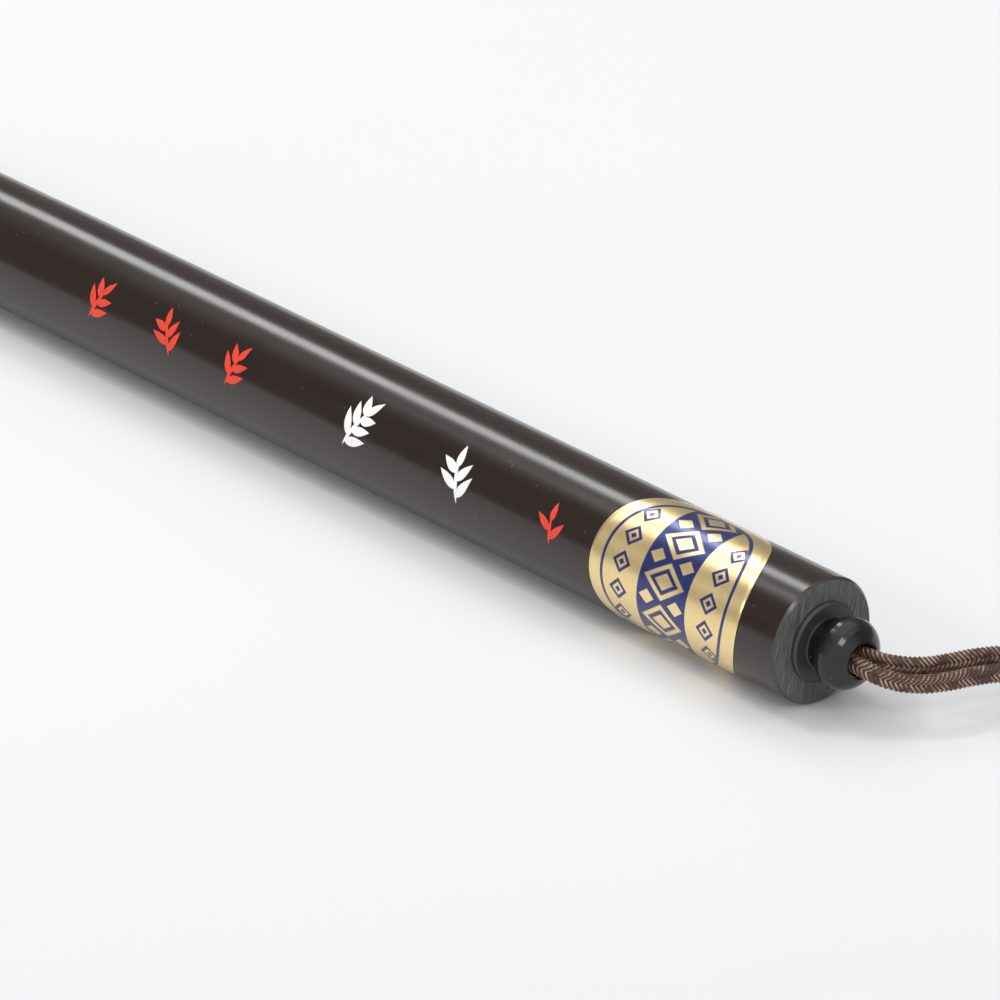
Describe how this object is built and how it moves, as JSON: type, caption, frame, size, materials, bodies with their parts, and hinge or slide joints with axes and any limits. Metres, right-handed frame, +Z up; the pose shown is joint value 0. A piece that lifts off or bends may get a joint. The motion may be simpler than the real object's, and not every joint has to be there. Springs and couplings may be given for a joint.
{
  "type": "calligraphy brush",
  "caption": "Lacquered wooden writing brush with a pointed hair tuft, a foil label, and a turned bead at the tail with a hanging loop of braided cord.",
  "frame": {"origin": "on the table under the middle of the brush's length, measured without the hanging cord", "axes": "+X along the shaft from the tuft to the tail, +Z up, the marks and label face -Y"},
  "size_m": [0.3224, 0.0348, 0.0136],
  "materials": {
    "lacquered_wood": "satin dark lacquer",
    "glue": "dried glue",
    "burnt_resin": "burnt and sealed",
    "hemp_thread": "twisted thread",
    "core_hair": "animal hair",
    "cover_hair": "animal hair, golden brown",
    "black_horn": "polished black",
    "cord": "flat braid, brown with copper picks",
    "gold_foil": "printed gold foil",
    "red_paint": "brushed paint",
    "white_paint": "brushed paint"
  },
  "bodies": {
    "handle": {"shaft": "lacquered_wood", "socket_glue": "glue", "root_seal": "burnt_resin", "root_binding": "hemp_thread", "waist_hair": "core_hair", "core_hair_root": "core_hair", "cover_hair_root": "cover_hair", "finial": "black_horn", "finial_glue": "glue", "cord_knot": "cord", "hanging_cord": "cord", "foil_label": "gold_foil", "red_marks": "red_paint", "white_marks": "white_paint"},
    "tuft_tip": {"core_hair_tip": "core_hair", "cover_hair_tip": "cover_hair", "life_hair": "core_hair"}
  },
  "joints": [
    {"name": "tuft_flex", "type": "hinge", "parent": "handle", "child": "tuft_tip", "pos_m": [-0.09448, 0, 0.00675], "axis": [0, 0, 1], "range_deg": [-35, 35], "stiffness_Nm_per_rad": 0.002}
  ]
}
